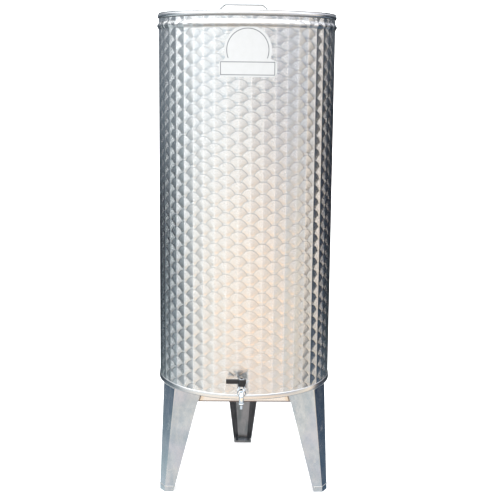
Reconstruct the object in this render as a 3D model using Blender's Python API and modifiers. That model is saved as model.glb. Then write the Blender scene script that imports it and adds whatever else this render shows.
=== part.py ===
# Stainless steel drum for wine or oil, about 180 litres, on three welded legs.
# Metres, +Z up. The origin is on the floor, at the middle of the drum's bounding box.
# Everything is modelled about the drum's own axis, which stands AXIS_Y behind the origin.

from math import cos, pi, radians, sin, tan

import bmesh
import bpy
from mathutils import Vector

# Driving dimensions
DRUM_R = 0.240          # outer radius of the rolled sheet
SHEET = 0.001           # sheet of the drum and its bottom
GAP = 0.0003            # between pieces that touch or are welded together
LEG_TOP = 0.300         # underside of the drum's bottom hem
RIM_TOP = 1.3091        # top of the rolled rim
AROUND = 64             # facets round the drum

# Rolled rim, swaged bead and bottom hem
RIM_SECTION_R = 0.0068
RIM_MID_R = DRUM_R - 0.0035
BEAD_BELOW_RIM = 0.0323 # from the rim's top to the middle of the bead
BEAD_HALF = 0.0095
BEAD_OUT = 0.0045
HEM_HEIGHT = 0.0138
HEM_OUT_R = DRUM_R + 0.0015
HEM_SHEET = 0.0012

# Bottom and lid
BOTTOM_Z = LEG_TOP + 0.016      # wet face of the bottom
BOTTOM_FILLET = 0.006
LID_SHEET = 0.0008
LID_PLUG_R = 0.2245             # the part of the lid that drops into the mouth
LID_PLUG_DEPTH = 0.0090
LID_PANEL_R = 0.125             # raised middle panel that carries the handle
LID_PANEL_UP = 0.0042
LID_CURL_R = 0.0011
LID_OUT_R = 0.2411
HANDLE_R = 0.003
HANDLE_TOP = 1.3398             # top of the straight grip
HANDLE_FLAT = 0.0515            # half the straight grip, to its corners
HANDLE_SLOPE = 41               # of its ends, in degrees
HANDLE_BEND_R = 0.010
HANDLE_TOE = 0.016              # length of each welded foot
HANDLE_OFF = -0.0092            # the handle sits a little to the left of the middle

# Legs: a channel that tapers to the floor, and a shallow foot that closes its end
LEG_SHEET = 0.002
LEG_BEND_R = 0.004
LEG_AT = {"front_left": 210, "front_right": 330, "back": 90}
WEB_TOP, WEB_FOOT = (0.0342, 0.2400), (0.0143, 0.2631)      # (half width, distance from the axis)
EDGE_TOP, EDGE_FOOT = (0.0605, 0.1710), (0.0264, 0.2419)    # free edge of each side wall
FOOT_HEIGHT = 0.015
FOOT_FLOOR = 0.003
FOOT_INNER = 0.0075             # height of its wall on the open side
LEG_INSIDE_HEM_R = 0.2325       # inside this radius the side walls reach up to the bottom

# Crossbars between the legs
BAR_FROM_AXIS = 0.1380
BAR_BOTTOM = LEG_TOP - 0.040
BAR_SHELF = 0.020
BAR_SHEET = 0.002

# Tap, turned about a level axis that points out of the drum at -Y, a little round to the left
TAP_TURN = radians(-1.8)
TAP_Z = 0.3325
TAP_HOLE_R = 0.0106
TAP_BODY_R = 0.0115
TAP_STEM = 0.2775               # distance of the lever's axis from the drum's axis
SPOUT_OUT = 0.3010              # distance of the spout from the drum's axis
SPOUT_TOP_R = 0.0070
SPOUT_LOW_R = 0.0056
SPOUT_BEND_R = 0.0085
TAP_FRONT = SPOUT_OUT - SPOUT_BEND_R - 0.0018   # end of the valve body, where the spout starts
SPOUT_BOTTOM = 0.3098
NOZZLE_BOTTOM = 0.2935
HUB_R = 0.0110
HUB_BOTTOM, HUB_TOP = 0.3491, 0.3668
LEVER_LEFT, LEVER_RIGHT = 0.0410, 0.0118
LEVER_LOW, LEVER_HIGH = 0.3555, 0.3663
LEVER_THICK = 0.009

# The bounding box runs from the front of the spout to the back of the rear foot
FRONT_REACH = SPOUT_OUT * cos(TAP_TURN) + SPOUT_TOP_R
BACK_REACH = WEB_FOOT[1]
AXIS_Y = (FRONT_REACH - BACK_REACH) / 2


def clear_scene():
    for obj in list(bpy.data.objects):
        bpy.data.objects.remove(obj)
    for collection in list(bpy.data.collections):
        bpy.data.collections.remove(collection)


def new_collection(name):
    collection = bpy.data.collections.new(name)
    bpy.context.scene.collection.children.link(collection)
    return collection


def metal(name, colour, roughness, metallic=1.0):
    material = bpy.data.materials.new(name)
    material.use_nodes = True
    shader = material.node_tree.nodes["Principled BSDF"]
    shader.inputs["Base Color"].default_value = (*colour, 1.0)
    shader.inputs["Roughness"].default_value = roughness
    shader.inputs["Metallic"].default_value = metallic
    return material


def place(name, data, material, collection=None, parent=None):
    """Adds an object on the drum's axis, or on the tap's."""
    obj = bpy.data.objects.new(name, data)
    if material:
        data.materials.append(material)
    (collection or drum).objects.link(obj)
    obj.parent = parent or drum_axis
    return obj


def arc(centre, radius, start, end, steps):
    """Points (r, z) along an arc, angles in degrees."""
    points = []
    for i in range(steps + 1):
        angle = radians(start + (end - start) * i / steps)
        points.append((centre[0] + radius * cos(angle), centre[1] + radius * sin(angle)))
    return points


def turned(name, profile, material, steps=AROUND, loop=False, wall=0.0, smooth=True, parent=None):
    """A profile of (radius, height) spun about Z. A loop is solid, an open profile on the axis is
    solid too, and with a wall it is a sheet that thickens inwards."""
    mesh = bpy.data.meshes.new(name)
    edges = [(i, i + 1) for i in range(len(profile) - 1)]
    if loop:
        edges.append((len(profile) - 1, 0))
    mesh.from_pydata([(r, 0, z) for r, z in profile], edges, [])
    obj = place(name, mesh, material, parent=parent)
    screw = obj.modifiers.new("turn", "SCREW")
    screw.steps = screw.render_steps = steps
    screw.use_merge_vertices = True
    screw.merge_threshold = 0.00001
    screw.use_smooth_shade = smooth
    if wall:
        sheet = obj.modifiers.new("sheet", "SOLIDIFY")
        sheet.thickness = wall
        sheet.offset = -1
        sheet.use_even_offset = True
    return obj


def face_outwards(obj):
    """Turns a piece that is turned about Z so that it points out of the drum at the tap's height."""
    obj.rotation_euler = (pi / 2, 0, 0)
    obj.location = (0, 0, TAP_Z)
    return obj


def boolean(obj, other, operation):
    cut = obj.modifiers.new(operation.lower(), "BOOLEAN")
    cut.operation = operation
    cut.object = other
    cut.solver = "EXACT"
    other.hide_render = True
    other.display_type = "WIRE"
    return obj


def tap_piece(name, profile, material, steps=24, loop=False, smooth=True):
    """A piece of the tap, turned about Z."""
    return turned(name, profile, material, steps, loop, smooth=smooth, parent=tap_axis)


def tap_tool(name, radius, low, high, sides, top_radius=None):
    """A closed cylinder or cone along Z, between two heights, that cuts or joins at the tap."""
    mesh = bpy.data.meshes.new(name)
    bm = bmesh.new()
    bmesh.ops.create_cone(
        bm, cap_ends=True, segments=sides, radius1=radius, radius2=top_radius or radius, depth=high - low
    )
    bmesh.ops.translate(bm, verts=bm.verts, vec=(0, 0, (low + high) / 2))
    bm.to_mesh(mesh)
    bm.free()
    return place(name, mesh, None, cutters, tap_axis)


def between(top, foot, z):
    """Leg measure at height z, from its value at the drum and on the floor."""
    share = z / LEG_TOP
    return foot + (top - foot) * share


def leg_shape(z):
    """Half widths and distances of the leg's web and of its side walls' edges at height z."""
    web = (between(WEB_TOP[0], WEB_FOOT[0], z), between(WEB_TOP[1], WEB_FOOT[1], z))
    edge = (between(EDGE_TOP[0], EDGE_FOOT[0], z), between(EDGE_TOP[1], EDGE_FOOT[1], z))
    return web, edge


def rounded_corner(before, corner, after, radius, steps=3):
    """Replaces a corner of an outline with an arc of this radius."""
    into, out = (Vector(before) - Vector(corner)), (Vector(after) - Vector(corner))
    half = into.angle(out) / 2
    back = radius / tan(half)
    start = Vector(corner) + into.normalized() * back
    end = Vector(corner) + out.normalized() * back
    middle = (into.normalized() + out.normalized()).normalized() * (radius / sin(half))
    centre = Vector(corner) + middle
    points = []
    for i in range(steps + 1):
        ray = (start - centre).normalized().slerp((end - centre).normalized(), i / steps)
        points.append(tuple(centre + ray * radius))
    return points


def leg_section(z):
    """Outer face of the channel at height z, as (x, y) with y pointing away from the drum's axis."""
    web, edge = leg_shape(z)
    corners = [edge, web, (-web[0], web[1]), (-edge[0], edge[1])]
    points = [corners[0]]
    for i in (1, 2):
        points += rounded_corner(corners[i - 1], corners[i], corners[i + 1], LEG_BEND_R * between(1, 0.5, z))
    points.append(corners[-1])
    return points


def inset(points, sheet, closed):
    """The same line, a sheet's thickness inside it."""
    inner = []
    for i, point in enumerate(points):
        before = points[i - 1] if i or closed else point
        after = points[(i + 1) % len(points)] if i + 1 < len(points) or closed else point
        normals = []
        for start, end in ((before, point), (point, after)):
            step = Vector(end) - Vector(start)
            if step.length > 1e-9:
                normals.append(Vector((step.y, -step.x)).normalized())
        normal = sum(normals, Vector((0, 0))).normalized()
        inner.append(tuple(Vector(point) - normal * sheet / normal.dot(normals[0])))
    return inner


def leg(name, azimuth, material):
    """Folded sheet leg. Its web carries the hem, and its side walls reach the bottom inside the hem."""
    mesh = bpy.data.meshes.new(name)
    bm = bmesh.new()
    rows = []
    for z in (FOOT_HEIGHT + GAP, BOTTOM_Z - SHEET - GAP):
        outer = leg_section(z)
        section = outer + list(reversed(inset(outer, LEG_SHEET, False)))
        rows.append([bm.verts.new((x, y, z)) for x, y in section])
    count = len(rows[0])
    for i in range(count):
        bm.faces.new((rows[0][i - 1], rows[0][i], rows[1][i], rows[1][i - 1]))
    for i in range(count // 2 - 1):
        far = count - 1 - i
        for row in rows:
            bm.faces.new((row[i], row[i + 1], row[far - 1], row[far]))
    bmesh.ops.recalc_face_normals(bm, faces=bm.faces)
    bm.to_mesh(mesh)
    bm.free()
    obj = place(name, mesh, material)
    obj.rotation_euler = (0, 0, radians(azimuth - 90))
    return boolean(obj, hem_clearance, "DIFFERENCE")


def foot(name, azimuth, material):
    """Shallow tray welded under the leg, flush with its faces, and lower on the leg's open side."""
    mesh = bpy.data.meshes.new(name)
    bm = bmesh.new()
    rings = []
    for z in (0, FOOT_HEIGHT):
        rings.append([bm.verts.new((x, y, z)) for x, y in leg_section(z)])
    for z in (FOOT_HEIGHT, FOOT_FLOOR):
        rings.append([bm.verts.new((x, y, z)) for x, y in inset(leg_section(z), LEG_SHEET, True)])
    for low, high in zip(rings, rings[1:]):
        for i in range(len(low)):
            bm.faces.new((low[i], low[i - 1], high[i - 1], high[i]))
    bm.faces.new(rings[0])
    bm.faces.new(list(reversed(rings[-1])))
    bmesh.ops.recalc_face_normals(bm, faces=bm.faces)
    bm.to_mesh(mesh)
    bm.free()
    obj = place(name, mesh, material)
    edge = leg_shape(FOOT_INNER)[1]
    half = edge[0] - LEG_SHEET
    cut = bpy.data.meshes.new(name + "_cutter")
    bm = bmesh.new()
    bmesh.ops.create_cube(bm, size=1)
    bmesh.ops.scale(bm, verts=bm.verts, vec=(2 * half, 4 * LEG_SHEET, FOOT_HEIGHT))
    bmesh.ops.translate(bm, verts=bm.verts, vec=(0, edge[1], FOOT_INNER + FOOT_HEIGHT / 2))
    bm.to_mesh(cut)
    bm.free()
    cutter = place(name + "_cutter", cut, None, cutters)
    obj.rotation_euler = cutter.rotation_euler = (0, 0, radians(azimuth - 90))
    return boolean(obj, cutter, "DIFFERENCE")


def crossbar(name, turn, material):
    """Angle bar between two legs, its ends cut to the slope of their side walls."""
    mesh = bpy.data.meshes.new(name)
    bm = bmesh.new()
    top = BOTTOM_Z - SHEET - GAP
    face, back = -BAR_FROM_AXIS, -BAR_FROM_AXIS + BAR_SHEET
    section = [
        (face, BAR_BOTTOM), (back, BAR_BOTTOM), (back, top - BAR_SHEET),
        (face + BAR_SHELF, top - BAR_SHEET), (face + BAR_SHELF, top), (face, top),
    ]
    start = [bm.verts.new((-DRUM_R, y, z)) for y, z in section]
    end_face = bmesh.ops.extrude_face_region(bm, geom=[bm.faces.new(start)])
    moved = [v for v in end_face["geom"] if isinstance(v, bmesh.types.BMVert)]
    bmesh.ops.translate(bm, verts=moved, vec=(2 * DRUM_R, 0, 0))
    lean = Vector((LEG_TOP, EDGE_FOOT[1] - EDGE_TOP[1])).normalized()
    for azimuth in (LEG_AT["front_left"], LEG_AT["front_right"]):
        away = Vector((cos(radians(azimuth)), sin(radians(azimuth)), 0))
        cut = bmesh.ops.bisect_plane(
            bm,
            geom=bm.verts[:] + bm.edges[:] + bm.faces[:],
            plane_co=away * (EDGE_TOP[1] - 0.4 * LEG_SHEET - GAP) + Vector((0, 0, LEG_TOP)),
            plane_no=away * lean.x + Vector((0, 0, lean.y)),
            clear_outer=True,
        )
        rim = [e for e in cut["geom_cut"] if isinstance(e, bmesh.types.BMEdge)]
        bmesh.ops.edgeloop_fill(bm, edges=rim)
    bmesh.ops.recalc_face_normals(bm, faces=bm.faces)
    bm.to_mesh(mesh)
    bm.free()
    obj = place(name, mesh, material)
    obj.rotation_euler = (0, 0, radians(turn))
    return obj


def make_shell(material):
    """Rolled sheet with a swaged bead under the rim and a hole for the tap."""
    bead = RIM_TOP - BEAD_BELOW_RIM
    top = RIM_TOP - 2 * RIM_SECTION_R - GAP
    profile = [(DRUM_R, top)]
    steps = 6
    for i in range(steps + 1):
        share = i / steps
        height = bead + BEAD_HALF * (1 - 2 * share)
        profile.append((DRUM_R + BEAD_OUT * sin(pi * share) ** 1.5, height))
    profile.append((DRUM_R, LEG_TOP + HEM_SHEET + GAP))
    shell = turned("shell", profile, material, wall=SHEET)
    cutter = tap_tool("tap_hole_cutter", TAP_HOLE_R, DRUM_R - 0.02, DRUM_R + 0.02, 24)
    face_outwards(cutter)
    return boolean(shell, cutter, "DIFFERENCE")


def make_rim(material):
    """Edge of the mouth, rolled round a wire."""
    centre = (RIM_MID_R, RIM_TOP - RIM_SECTION_R)
    section = arc(centre, RIM_SECTION_R, 0, -330, 11)
    turned("rim_roll", section, material, loop=True)


def make_bottom(plate_metal, hem_metal):
    """Flanged bottom, and the hem that folds the drum's edge round its flange."""
    flange_r = DRUM_R - SHEET - GAP
    corner = (flange_r - BOTTOM_FILLET, BOTTOM_Z - BOTTOM_FILLET)
    profile = [(0, BOTTOM_Z)] + arc(corner, BOTTOM_FILLET, 90, 0, 3)
    profile.append((flange_r, LEG_TOP + HEM_SHEET + GAP))
    turned("bottom_plate", profile, plate_metal, wall=SHEET)

    out, sheet, edge = HEM_OUT_R, HEM_SHEET, 0.001
    inner = flange_r - SHEET - GAP
    inner_top = LEG_TOP + HEM_HEIGHT / 2
    hem = [
        (out, LEG_TOP + HEM_HEIGHT - edge / 2), (out, LEG_TOP + edge), (out - edge, LEG_TOP),
        (inner - sheet + edge, LEG_TOP), (inner - sheet, LEG_TOP + edge), (inner - sheet, inner_top),
        (inner, inner_top), (inner, LEG_TOP + sheet), (DRUM_R + GAP, LEG_TOP + sheet),
        (DRUM_R + GAP, LEG_TOP + HEM_HEIGHT),  (out - edge / 2, LEG_TOP + HEM_HEIGHT),
    ]
    turned("bottom_hem", hem, hem_metal, loop=True)


def make_lid(material, handle_metal):
    """Pressed lid with a curled edge, and its bent rod handle."""
    seat = RIM_TOP + GAP + LID_SHEET
    low = seat - LID_PLUG_DEPTH
    panel = low + LID_PANEL_UP
    curl = (LID_OUT_R - LID_CURL_R, seat - 0.0006)
    profile = [
        (0, panel), (LID_PANEL_R, panel), (LID_PANEL_R + 0.008, low),
        (LID_PLUG_R - 0.005, low), (LID_PLUG_R - 0.001, low + 0.002),
        (LID_PLUG_R, seat - 0.002), (LID_PLUG_R + 0.002, seat), (curl[0] - LID_CURL_R - 0.0012, seat),
    ]
    profile += arc(curl, LID_CURL_R, 120, -60, 5)
    turned("lid", profile, material, wall=LID_SHEET)

    top = HANDLE_TOP - HANDLE_R
    rest = panel + GAP + HANDLE_R
    reach = HANDLE_FLAT + (top - rest) / tan(radians(HANDLE_SLOPE))
    corners = [(-reach - HANDLE_TOE, rest), (-reach, rest), (-HANDLE_FLAT, top)]
    corners += [(-x, z) for x, z in reversed(corners)]
    points = [corners[0]]
    for i in range(1, len(corners) - 1):
        points += rounded_corner(corners[i - 1], corners[i], corners[i + 1], HANDLE_BEND_R)
    points.append(corners[-1])
    handle = rod("lid_handle", [(x, 0, z) for x, z in points], [HANDLE_R] * len(points), handle_metal)
    handle.location = (HANDLE_OFF, 0, 0)


def rod(name, points, radii, material, sides=2, parent=None):
    """A bent rod or spout, as a curve with a round section."""
    curve = bpy.data.curves.new(name, "CURVE")
    curve.dimensions = "3D"
    curve.bevel_depth = max(radii)
    curve.bevel_resolution = sides
    curve.use_fill_caps = True
    spline = curve.splines.new("POLY")
    spline.points.add(len(points) - 1)
    for point, place_at, radius in zip(spline.points, points, radii):
        point.co = (*place_at, 1)
        point.radius = radius / max(radii)
    return place(name, curve, material, parent=parent)


def make_tap_body(chrome, rubber, steel):
    """Welded socket, washer, union nut, valve body with its stem boss, and packing nut."""
    wall_in, wall_out = DRUM_R - 0.006, DRUM_R + 0.0004
    bore = 0.007
    socket = [
        (0.0130, wall_out + 0.003), (0.0130, wall_out), (0.0102, wall_out), (0.0102, wall_in),
        (bore, wall_in), (bore, 0.2500), (0.0110, 0.2500), (0.0110, wall_out + 0.003),
    ]
    face_outwards(tap_piece("tap_socket", socket, steel, loop=True, smooth=False))
    washer = [(0.0118, 0.2520), (0.0118, 0.2503), (bore, 0.2503), (bore, 0.2520)]
    face_outwards(tap_piece("tap_washer", washer, rubber, loop=True, smooth=False))
    nut = [
        (0.0118, 0.2613), (0.0128, 0.2605), (0.0128, 0.2531), (0.0118, 0.2523), (bore, 0.2523), (bore, 0.2613),
    ]
    face_outwards(tap_piece("tap_union_nut", nut, chrome, steps=6, loop=True, smooth=False))

    body = [
        (0, TAP_FRONT), (0.0086, TAP_FRONT), (0.0091, TAP_FRONT - 0.0022), (0.0108, TAP_FRONT - 0.0040),
        (TAP_BODY_R, TAP_FRONT - 0.0062), (TAP_BODY_R, 0.2695), (0.0108, 0.2668), (0.0090, 0.2650),
        (0.0085, 0.2616), (0, 0.2616),
    ]
    valve = face_outwards(tap_piece("tap_body", body, chrome))
    boss = tap_tool("tap_boss_tool", 0.0072, TAP_Z, HUB_BOTTOM - 0.0036, 24)
    boss.location = (0, -TAP_STEM, 0)
    boolean(valve, boss, "UNION")

    packing = tap_piece(
        "tap_packing_nut",
        [
            (0, HUB_BOTTOM - GAP), (0.0068, HUB_BOTTOM - GAP), (0.0075, HUB_BOTTOM - 0.0009),
            (0.0075, HUB_BOTTOM - 0.0033), (0, HUB_BOTTOM - 0.0033),
        ],
        chrome, steps=6, smooth=False,
    )
    packing.location = (0, -TAP_STEM, 0)


def make_spout(chrome):
    """Elbow that turns down into the spout, and its nozzle with a bore."""
    bend = arc((SPOUT_OUT - SPOUT_BEND_R, TAP_Z - SPOUT_BEND_R), SPOUT_BEND_R, 90, 0, 5)
    points = [(0, -(TAP_FRONT + GAP), TAP_Z)]
    points += [(0, -y, z) for y, z in bend]
    points.append((0, -SPOUT_OUT, SPOUT_BOTTOM))
    first = Vector(points[0])
    total = (Vector(points[-1]) - first).length
    radii = [SPOUT_TOP_R + (SPOUT_LOW_R - SPOUT_TOP_R) * (Vector(p) - first).length / total for p in points]
    rod("tap_spout", points, radii, chrome, sides=4, parent=tap_axis)

    bore, tip = 0.0021, 0.0034
    top = SPOUT_BOTTOM - GAP
    nozzle = [
        (0.0062, top), (0.0070, top - 0.0008), (0.0070, top - 0.0026), (0.0046, top - 0.0046),
        (0.0036, top - 0.0056), (tip, NOZZLE_BOTTOM + 0.0006), (tip - 0.0006, NOZZLE_BOTTOM),
        (bore, NOZZLE_BOTTOM), (bore, top),
    ]
    obj = tap_piece("tap_nozzle", nozzle, chrome, steps=20, loop=True)
    obj.location = (0, -SPOUT_OUT, 0)


def make_lever(plastic, chrome):
    """Black lever, closed: it points along the drum's wall to the left."""
    mesh = bpy.data.meshes.new("tap_lever")
    bm = bmesh.new()
    bmesh.ops.create_cube(bm, size=1)
    length, height = LEVER_LEFT + LEVER_RIGHT, LEVER_HIGH - LEVER_LOW
    bmesh.ops.scale(bm, verts=bm.verts, vec=(length, LEVER_THICK, height))
    middle = ((LEVER_RIGHT - LEVER_LEFT) / 2, 0, (LEVER_LOW + LEVER_HIGH) / 2)
    bmesh.ops.translate(bm, verts=bm.verts, vec=middle)
    upright = [e for e in bm.edges if abs(e.verts[0].co.z - e.verts[1].co.z) > height / 2]
    bmesh.ops.bevel(bm, geom=upright, offset=0.0038, segments=3, affect="EDGES", profile=0.5)
    bm.to_mesh(mesh)
    bm.free()
    lever = place("tap_lever", mesh, plastic, parent=tap_axis)
    hub = tap_tool("lever_hub_tool", 0.0098, HUB_BOTTOM, HUB_TOP, 24, top_radius=HUB_R)
    boolean(lever, hub, "UNION")
    lever.location = hub.location = (0, -TAP_STEM, 0)

    top = HUB_TOP + GAP
    washer = tap_piece(
        "lever_washer",
        [(0, top + 0.0010), (0.0056, top + 0.0010), (0.0062, top + 0.0004), (0.0062, top), (0, top)],
        chrome, steps=20, smooth=False,
    )
    head = top + 0.0010 + GAP
    screw = tap_piece(
        "lever_screw",
        [
            (0, head + 0.0008), (0.0016, head + 0.0008), (0.0016, head + 0.0022), (0.0028, head + 0.0022),
            (0.0034, head + 0.0016), (0.0034, head), (0, head),
        ],
        chrome, steps=12, smooth=False,
    )
    washer.location = screw.location = (0, -TAP_STEM, 0)


clear_scene()
drum = new_collection("stainless_drum")
cutters = new_collection("cutters")
drum_axis = bpy.data.objects.new("drum_axis", None)
drum_axis.location = (0, AXIS_Y, 0)
drum.objects.link(drum_axis)
tap_axis = bpy.data.objects.new("tap_axis", None)
tap_axis.rotation_euler = (0, 0, TAP_TURN)
tap_axis.parent = drum_axis
drum.objects.link(tap_axis)

patterned = metal("patterned_steel", (0.68, 0.69, 0.70), 0.28)
bright = metal("bright_steel", (0.78, 0.79, 0.80), 0.18)
satin = metal("satin_steel", (0.58, 0.60, 0.62), 0.34)
chrome_plate = metal("chrome_plate", (0.85, 0.86, 0.88), 0.08)
black_plastic = metal("black_plastic", (0.02, 0.02, 0.02), 0.45, metallic=0.0)
grey_rubber = metal("seal_rubber", (0.06, 0.06, 0.06), 0.7, metallic=0.0)

make_shell(patterned)
make_rim(bright)
make_bottom(bright, bright)
clearance = [
    (0.30, 0.33), (0.30, LEG_TOP - GAP), (LEG_INSIDE_HEM_R, LEG_TOP - GAP), (LEG_INSIDE_HEM_R, 0.33),
]
hem_clearance = turned("hem_clearance", clearance, None, loop=True)
cutters.objects.link(hem_clearance)
drum.objects.unlink(hem_clearance)
for place_name, leg_azimuth in LEG_AT.items():
    leg("leg_" + place_name, leg_azimuth, satin)
    foot("foot_" + place_name, leg_azimuth, satin)
for bar_name, bar_turn in (("front", 0), ("right", 120), ("left", 240)):
    crossbar("crossbar_" + bar_name, bar_turn, satin)
make_tap_body(chrome_plate, grey_rubber, bright)
make_spout(chrome_plate)
make_lever(black_plastic, chrome_plate)
make_lid(bright, chrome_plate)
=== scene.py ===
# Looks of the stainless drum with its lid and tap, on three folded legs. Metres, +Z up, tap towards -Y.

from math import atan2, cos, degrees, pi, radians, sin, sqrt, tan

import bpy
from mathutils import Matrix, Vector


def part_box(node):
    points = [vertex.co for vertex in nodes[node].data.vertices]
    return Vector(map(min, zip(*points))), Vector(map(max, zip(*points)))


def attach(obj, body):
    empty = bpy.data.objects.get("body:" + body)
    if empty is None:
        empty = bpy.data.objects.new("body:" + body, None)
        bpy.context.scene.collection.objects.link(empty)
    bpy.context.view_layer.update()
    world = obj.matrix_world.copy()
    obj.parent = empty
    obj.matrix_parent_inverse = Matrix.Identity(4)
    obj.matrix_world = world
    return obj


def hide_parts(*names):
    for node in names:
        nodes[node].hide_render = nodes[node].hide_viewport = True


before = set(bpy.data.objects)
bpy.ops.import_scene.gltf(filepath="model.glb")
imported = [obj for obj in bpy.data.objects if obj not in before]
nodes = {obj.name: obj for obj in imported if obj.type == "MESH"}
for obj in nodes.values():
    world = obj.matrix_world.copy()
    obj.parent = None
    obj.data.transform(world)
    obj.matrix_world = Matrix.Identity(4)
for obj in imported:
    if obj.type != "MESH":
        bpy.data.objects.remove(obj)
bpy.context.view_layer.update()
axisY = sum(corner.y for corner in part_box("rim_roll")) / 2      # the drum's own axis, behind the origin
drumRadius = 0.240                                              # outside of its sheet


# shader maths

class Wire:
    # a socket that can be used in sums
    def __init__(self, sheet, socket):
        self.sheet, self.socket = sheet, socket

    def __add__(self, other):
        return self.sheet.maths("ADD", self, other)

    def __sub__(self, other):
        return self.sheet.maths("SUBTRACT", self, other)

    def __mul__(self, other):
        return self.sheet.maths("MULTIPLY", self, other)

    def __truediv__(self, other):
        return self.sheet.maths("DIVIDE", self, other)

    def __pow__(self, other):
        return self.sheet.maths("POWER", self, other)

    def __gt__(self, other):
        return self.sheet.maths("GREATER_THAN", self, other)

    def __lt__(self, other):
        return self.sheet.maths("LESS_THAN", self, other)

    def __rsub__(self, other):
        return self.sheet.maths("SUBTRACT", other, self)

    def __rtruediv__(self, other):
        return self.sheet.maths("DIVIDE", other, self)

    __radd__ = __add__
    __rmul__ = __mul__


class Finish:
    # a material, or the world, whose nodes are written as expressions
    def __init__(self, owner, fixed=None):
        owner.use_nodes = True
        self.owner = owner
        self.tree = owner.node_tree
        self.shader = next(n for n in self.tree.nodes if n.type in ("BSDF_PRINCIPLED", "BACKGROUND"))
        for name, value in (fixed or {}).items():
            self.shader.inputs[name].default_value = value

    def node(self, kind, settings=None, inputs=None, out=0):
        made = self.tree.nodes.new("ShaderNode" + kind)
        for name, value in (settings or {}).items():
            if name == "stops":
                ramp = made.color_ramp
                while len(ramp.elements) < len(value):
                    ramp.elements.new(0.5)
                for element, (place, colour) in zip(ramp.elements, value):
                    element.position = place
                    element.color = (*colour, 1)
            else:
                setattr(made, name, value)
        for name, value in (inputs or {}).items():
            self.join(value, made.inputs[name])
        return Wire(self, made.outputs[out])

    def join(self, value, socket):
        if isinstance(value, Wire):
            self.tree.links.new(value.socket, socket)
        else:
            socket.default_value = value

    def maths(self, operation, *values):
        return self.node("Math", {"operation": operation}, dict(enumerate(values)))

    def vector(self, operation, *values):
        return self.node("VectorMath", {"operation": operation}, dict(enumerate(values)))

    def scaled(self, vector, amount):
        return self.node("VectorMath", {"operation": "SCALE"}, {0: vector, 3: amount})

    def mix(self, factor, first, second):
        # colours
        return self.node("Mix", {"data_type": "RGBA"}, {0: factor, 6: first, 7: second}, 2)

    def blend(self, factor, first, second):
        # numbers
        return self.node("Mix", {"data_type": "FLOAT"}, {0: factor, 2: first, 3: second})

    def ramp(self, factor, stops):
        return self.node("ValToRGB", {"stops": stops}, {"Fac": factor})

    def steps(self, value, low, high, toLow=0.0, toHigh=1.0):
        # smooth rise between two values, or a fall where the first is the higher one
        return self.node(
            "MapRange", {"interpolation_type": "SMOOTHSTEP"},
            {"Value": value, "From Min": low, "From Max": high, "To Min": toLow, "To Max": toHigh},
        )

    def place(self):
        return self.node("TexCoord", out=3)

    def facing(self):
        return self.node("TexCoord", out=1)

    def parts(self, vector):
        made = self.tree.nodes.new("ShaderNodeSeparateXYZ")
        self.join(vector, made.inputs[0])
        return [Wire(self, s) for s in made.outputs]

    def joined(self, x, y, z):
        return self.node("CombineXYZ", None, {0: x, 1: y, 2: z})

    def stretched(self, vector, scale):
        return self.node("Mapping", None, {"Vector": vector, "Scale": scale})

    def noise(self, vector, scale, detail, rough=0.5):
        return self.node(
            "TexNoise", None, {"Vector": vector, "Scale": scale, "Detail": detail, "Roughness": rough}
        )

    def bump(self, height, distance, strength):
        return self.node("Bump", None, {"Height": height, "Distance": distance, "Strength": strength})

    def show(self, **sockets):
        for name, value in sockets.items():
            self.join(value, self.shader.inputs[name.replace("_", " ")])
        return self.owner


def steelFinish(name):
    return Finish(bpy.data.materials.new(name), {"Metallic": 1.0})


# materials

turned = {
    "column": radians(7.57),        # from one column of spots to the next
    "first": radians(2.55),         # a column just right of the tap, seen from the front
    "pitch": 0.03235,               # from one spot to the next below it
    "tops": (1.1225, 1.10633),      # height of a spot's top, in even and odd columns
    "radius": 0.0255,
    "rings": (0.00041, 0.00023),    # spacing of the fine circular scratches and of the few deep ones
    "scatter": 0.01,                # how far they are shifted from spot to spot
    "slope": 0.05,                  # how far the fine ones lean
    "deep": 0.62,                   # and the deep ones
    "rim": (0.0017, 0.0006),        # where a spot's worn rim starts and where it is full, in from the edge
    "lip": 0.30,                    # how far that rim leans sideways
    "rise": 0.065,                  # and upwards
    "shoulder": 0.05,               # more so at its sides
    "edge": (0.0012, 0.0008),       # where a thin line of painted shade round each spot starts and is full
    "sides": 0.25,                  # what is left of that line at a spot's sides
    "nearTop": 0.95,                # and how near to straight up it is whole
    "flat": 1.2,                    # how far rolling hollowed the strips between the columns' middles
    "ridge": 0.04,                  # and how steep they are beside those middles
    "cone": 0.12,                   # how far each spot rises to its middle, seen from its sides
    "middle": (0.0024, 0.0012),     # where the painted highlight line down each column starts and is full
    "skin": 0.0005,                 # the sheet is polished no deeper than this, so its inside is plain
    "sheet": (0.80, 0.80, 0.80, 1),
    # colour of the painted highlight down each column's middle
    "bright": (0.83, 0.83, 0.83, 1),
    # colour of the painted shade round each spot, darkest at its top
    "dull": (0.59, 0.59, 0.60, 1),
    "smooth": 0.11,                 # roughness of a spot
    "varies": 0.03,                 # more of it from spot to spot
    "worn": 0.04,                   # and on a worn rim
    "inside": 0.36,                 # roughness inside the drum
}


def spotAt(s, angle, z):
    # the spot that shows at a place: how far across and up from its middle that is, and its number
    radius = turned["radius"]
    wide = 2 * turned["column"]
    found = []
    for shift, top in enumerate(turned["tops"]):
        middle = top - radius
        along = (angle - (turned["first"] + shift * turned["column"])) / wide + 0.5
        across = (s.maths("FRACT", along) - 0.5) * (drumRadius * wide)
        reach = s.maths("SQRT", s.maths("MAXIMUM", radius * radius - across * across, 0.0))
        row = s.maths("CEIL", (z - reach - middle) / turned["pitch"])
        up = z - (row * turned["pitch"] + middle)
        up = s.blend(s.maths("ABSOLUTE", across) < radius, -1.0, up)
        number = s.maths("FLOOR", along) + row * 37.0 + shift * 0.5     # differs from spot to spot
        found.append((across, up, number))
    # spots lie over those above them, so of two the lower one shows
    even, odd = found
    evenShows = even[1] > odd[1]
    return [s.blend(evenShows, b, a) for a, b in zip(even, odd)]


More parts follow.
